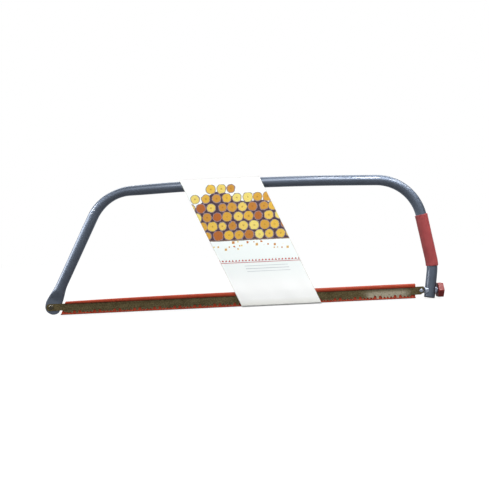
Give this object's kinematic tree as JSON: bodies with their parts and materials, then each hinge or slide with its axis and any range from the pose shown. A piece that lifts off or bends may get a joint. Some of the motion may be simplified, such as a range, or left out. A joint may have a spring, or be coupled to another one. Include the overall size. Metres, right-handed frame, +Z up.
{
  "type": "bow saw",
  "caption": "Bow saw with a bent tube frame, raker-tooth blade, hexagonal tension knob on a draw bolt, vinyl grip, clip-on blade guard and slanted card sleeve.",
  "frame": {"origin": "middle of the saw's footprint, at the height of its lowest point, the edge of the plug in the lower end of the tube", "axes": "+X along the blade from the nose to the tension knob, +Y towards the back (the blade lies on the front, -Y), +Z up from the teeth to the bow"},
  "size_m": [0.967, 0.038, 0.3148],
  "materials": {
    "gun_metal_paint": "metallic gun-metal paint, semi-gloss",
    "red_vinyl": "satin vinyl",
    "dark_plastic": "matt moulded",
    "lacquered_steel": "rolled steel under brown lacquer",
    "zinc_plate": "zinc plated",
    "red_plastic": "extruded, satin",
    "knob_plastic": "moulded, semi-gloss",
    "white_card": "coated white card, printed"
  },
  "bodies": {
    "frame": {"frame_tube": "gun_metal_paint", "hand_grip": "red_vinyl", "end_plug": "dark_plastic", "nose_bolt": "zinc_plate", "nose_washer": "zinc_plate", "nose_nut": "zinc_plate", "inner_collar": "zinc_plate", "outer_collar": "zinc_plate", "thrust_washer": "zinc_plate"},
    "knob": {"tension_knob": "knob_plastic", "knob_insert": "zinc_plate"},
    "draw": {"draw_bolt": "zinc_plate", "blade_stud": "zinc_plate", "saw_blade": "lacquered_steel"},
    "guard": {"blade_guard": "red_plastic"},
    "sleeve": {"card_sleeve": "white_card"}
  },
  "joints": [
    {"name": "knob_turn", "type": "hinge", "parent": "frame", "child": "knob", "pos_m": [0.4705, 0, 0.01973], "axis": [1, 0, 0], "range_deg": [0, 720]},
    {"name": "draw_slide", "type": "slide", "parent": "frame", "child": "draw", "axis": [1, 0, 0], "range_m": [-0.00282, 0]},
    {"name": "guard_slide", "type": "slide", "parent": "draw", "child": "guard", "axis": [1, 0, 0], "range_m": [-0.004, 0.004]},
    {"name": "sleeve_slide", "type": "slide", "parent": "frame", "child": "sleeve", "axis": [1, 0, 0], "range_m": [-0.1, 0.22]}
  ],
  "couplings": [
    {"joint": "knob_turn", "follows": "draw_slide", "rad_per_m": -4452.6}
  ]
}
